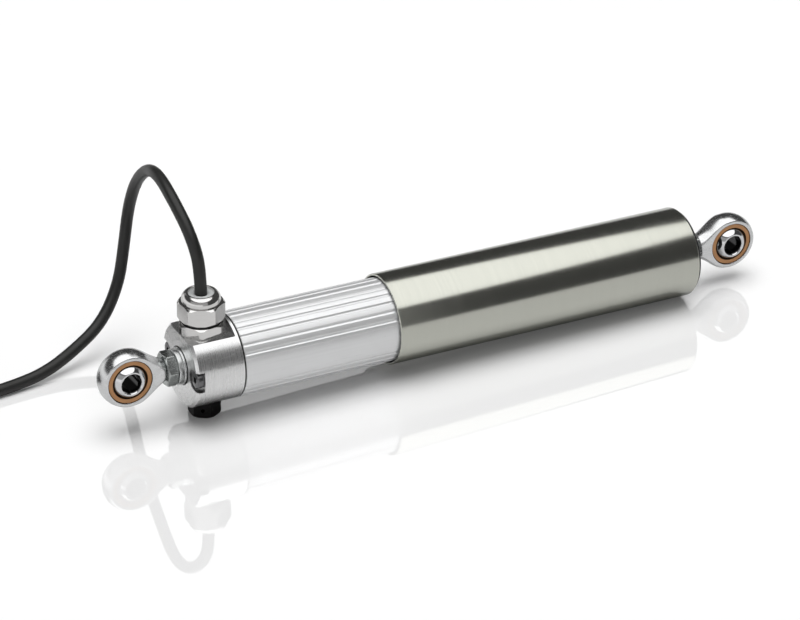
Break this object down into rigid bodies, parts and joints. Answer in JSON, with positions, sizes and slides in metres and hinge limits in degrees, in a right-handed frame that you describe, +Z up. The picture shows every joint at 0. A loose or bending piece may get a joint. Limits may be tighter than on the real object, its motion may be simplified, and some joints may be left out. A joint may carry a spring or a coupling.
{
  "type": "linear potentiometer",
  "caption": "Rod-type linear position transducer: fluted tube with a cabled end cap, a push rod under a protective sleeve, and a spherical rod-end bearing at each end.",
  "frame": {"origin": "centre of the spherical bearing at the fixed (cable) end", "axes": "+X along the rod's axis towards the moving bearing, +Y along the bores of the bearings, +Z up through the cable gland"},
  "size_m": [0.3921, 0.1285, 0.095],
  "materials": {
    "plated_steel": "satin zinc-plated forging",
    "bearing_bronze": "sintered bronze, semi-matte",
    "ball_steel": "polished",
    "nut_steel": "zinc-plated, satin",
    "washer_steel": "satin",
    "cap_aluminium": "turned, satin anodised",
    "screw_steel": "stainless, satin",
    "gasket_rubber": "matte",
    "gland_nickel": "nickel-plated, polished",
    "seal_elastomer": "matte light grey",
    "vent_plastic": "satin black",
    "membrane": "matte white",
    "tube_aluminium": "extruded, satin anodised",
    "board_laminate": "conductive track on laminate",
    "pin_metal": "gold-plated",
    "lead_insulation": "coloured insulation",
    "flange_aluminium": "satin anodised",
    "bush_bronze": "sintered bronze",
    "wiper_elastomer": "matte",
    "carriage_plastic": "moulded",
    "brush_metal": "precious-metal spring",
    "rod_steel": "ground stainless steel",
    "hub_aluminium": "turned",
    "sleeve_steel": "drawn stainless, satin",
    "cable_sheath": "black sheath, satin",
    "tie_fabric": "woven"
  },
  "bodies": {
    "housing": {"fixed_rod_end": "plated_steel", "fixed_race": "bearing_bronze", "fixed_jam_nut": "nut_steel", "fixed_lock_washer": "washer_steel", "fixed_flat_washer": "washer_steel", "end_cap": "cap_aluminium", "cap_screws": "screw_steel", "cap_gasket": "gasket_rubber", "gland_body": "gland_nickel", "gland_o_ring": "gasket_rubber", "gland_nut": "gland_nickel", "gland_seal": "seal_elastomer", "vent_plug": "vent_plastic", "vent_seal": "gasket_rubber", "vent_membrane": "membrane", "profile_tube": "tube_aluminium", "resistance_board": "board_laminate", "terminal_pins": "pin_metal", "signal_leads": "lead_insulation", "front_gasket": "gasket_rubber", "front_flange": "flange_aluminium", "front_screws": "screw_steel", "rod_bush": "bush_bronze", "rod_wiper": "wiper_elastomer", "cable_run": "cable_sheath", "cable_coil": "cable_sheath", "coil_tie": "tie_fabric", "cable_leads": "lead_insulation"},
    "carriage": {"wiper_carriage": "carriage_plastic", "wiper_brush": "brush_metal"},
    "rod": {"push_rod": "rod_steel", "sleeve_hub": "hub_aluminium", "protective_sleeve": "sleeve_steel", "moving_flat_washer": "washer_steel", "moving_lock_washer": "washer_steel", "moving_jam_nut": "nut_steel", "moving_rod_end": "plated_steel", "moving_race": "bearing_bronze"},
    "fixed_ball": {"fixed_ball": "ball_steel"},
    "moving_ball": {"moving_ball": "ball_steel"}
  },
  "joints": [
    {"name": "stroke", "type": "slide", "parent": "housing", "child": "carriage", "axis": [1, 0, 0], "range_m": [-0.065, 0.035]},
    {"name": "rod_turn", "type": "hinge", "parent": "carriage", "child": "rod", "pos_m": [0, 0, 0], "axis": [1, 0, 0], "continuous": true},
    {"name": "fixed_ball_spin", "type": "hinge", "parent": "housing", "child": "fixed_ball", "pos_m": [0, 0, 0], "axis": [0, 1, 0], "continuous": true},
    {"name": "moving_ball_spin", "type": "hinge", "parent": "rod", "child": "moving_ball", "pos_m": [0.2777, 0, 0], "axis": [0, 1, 0], "continuous": true}
  ]
}
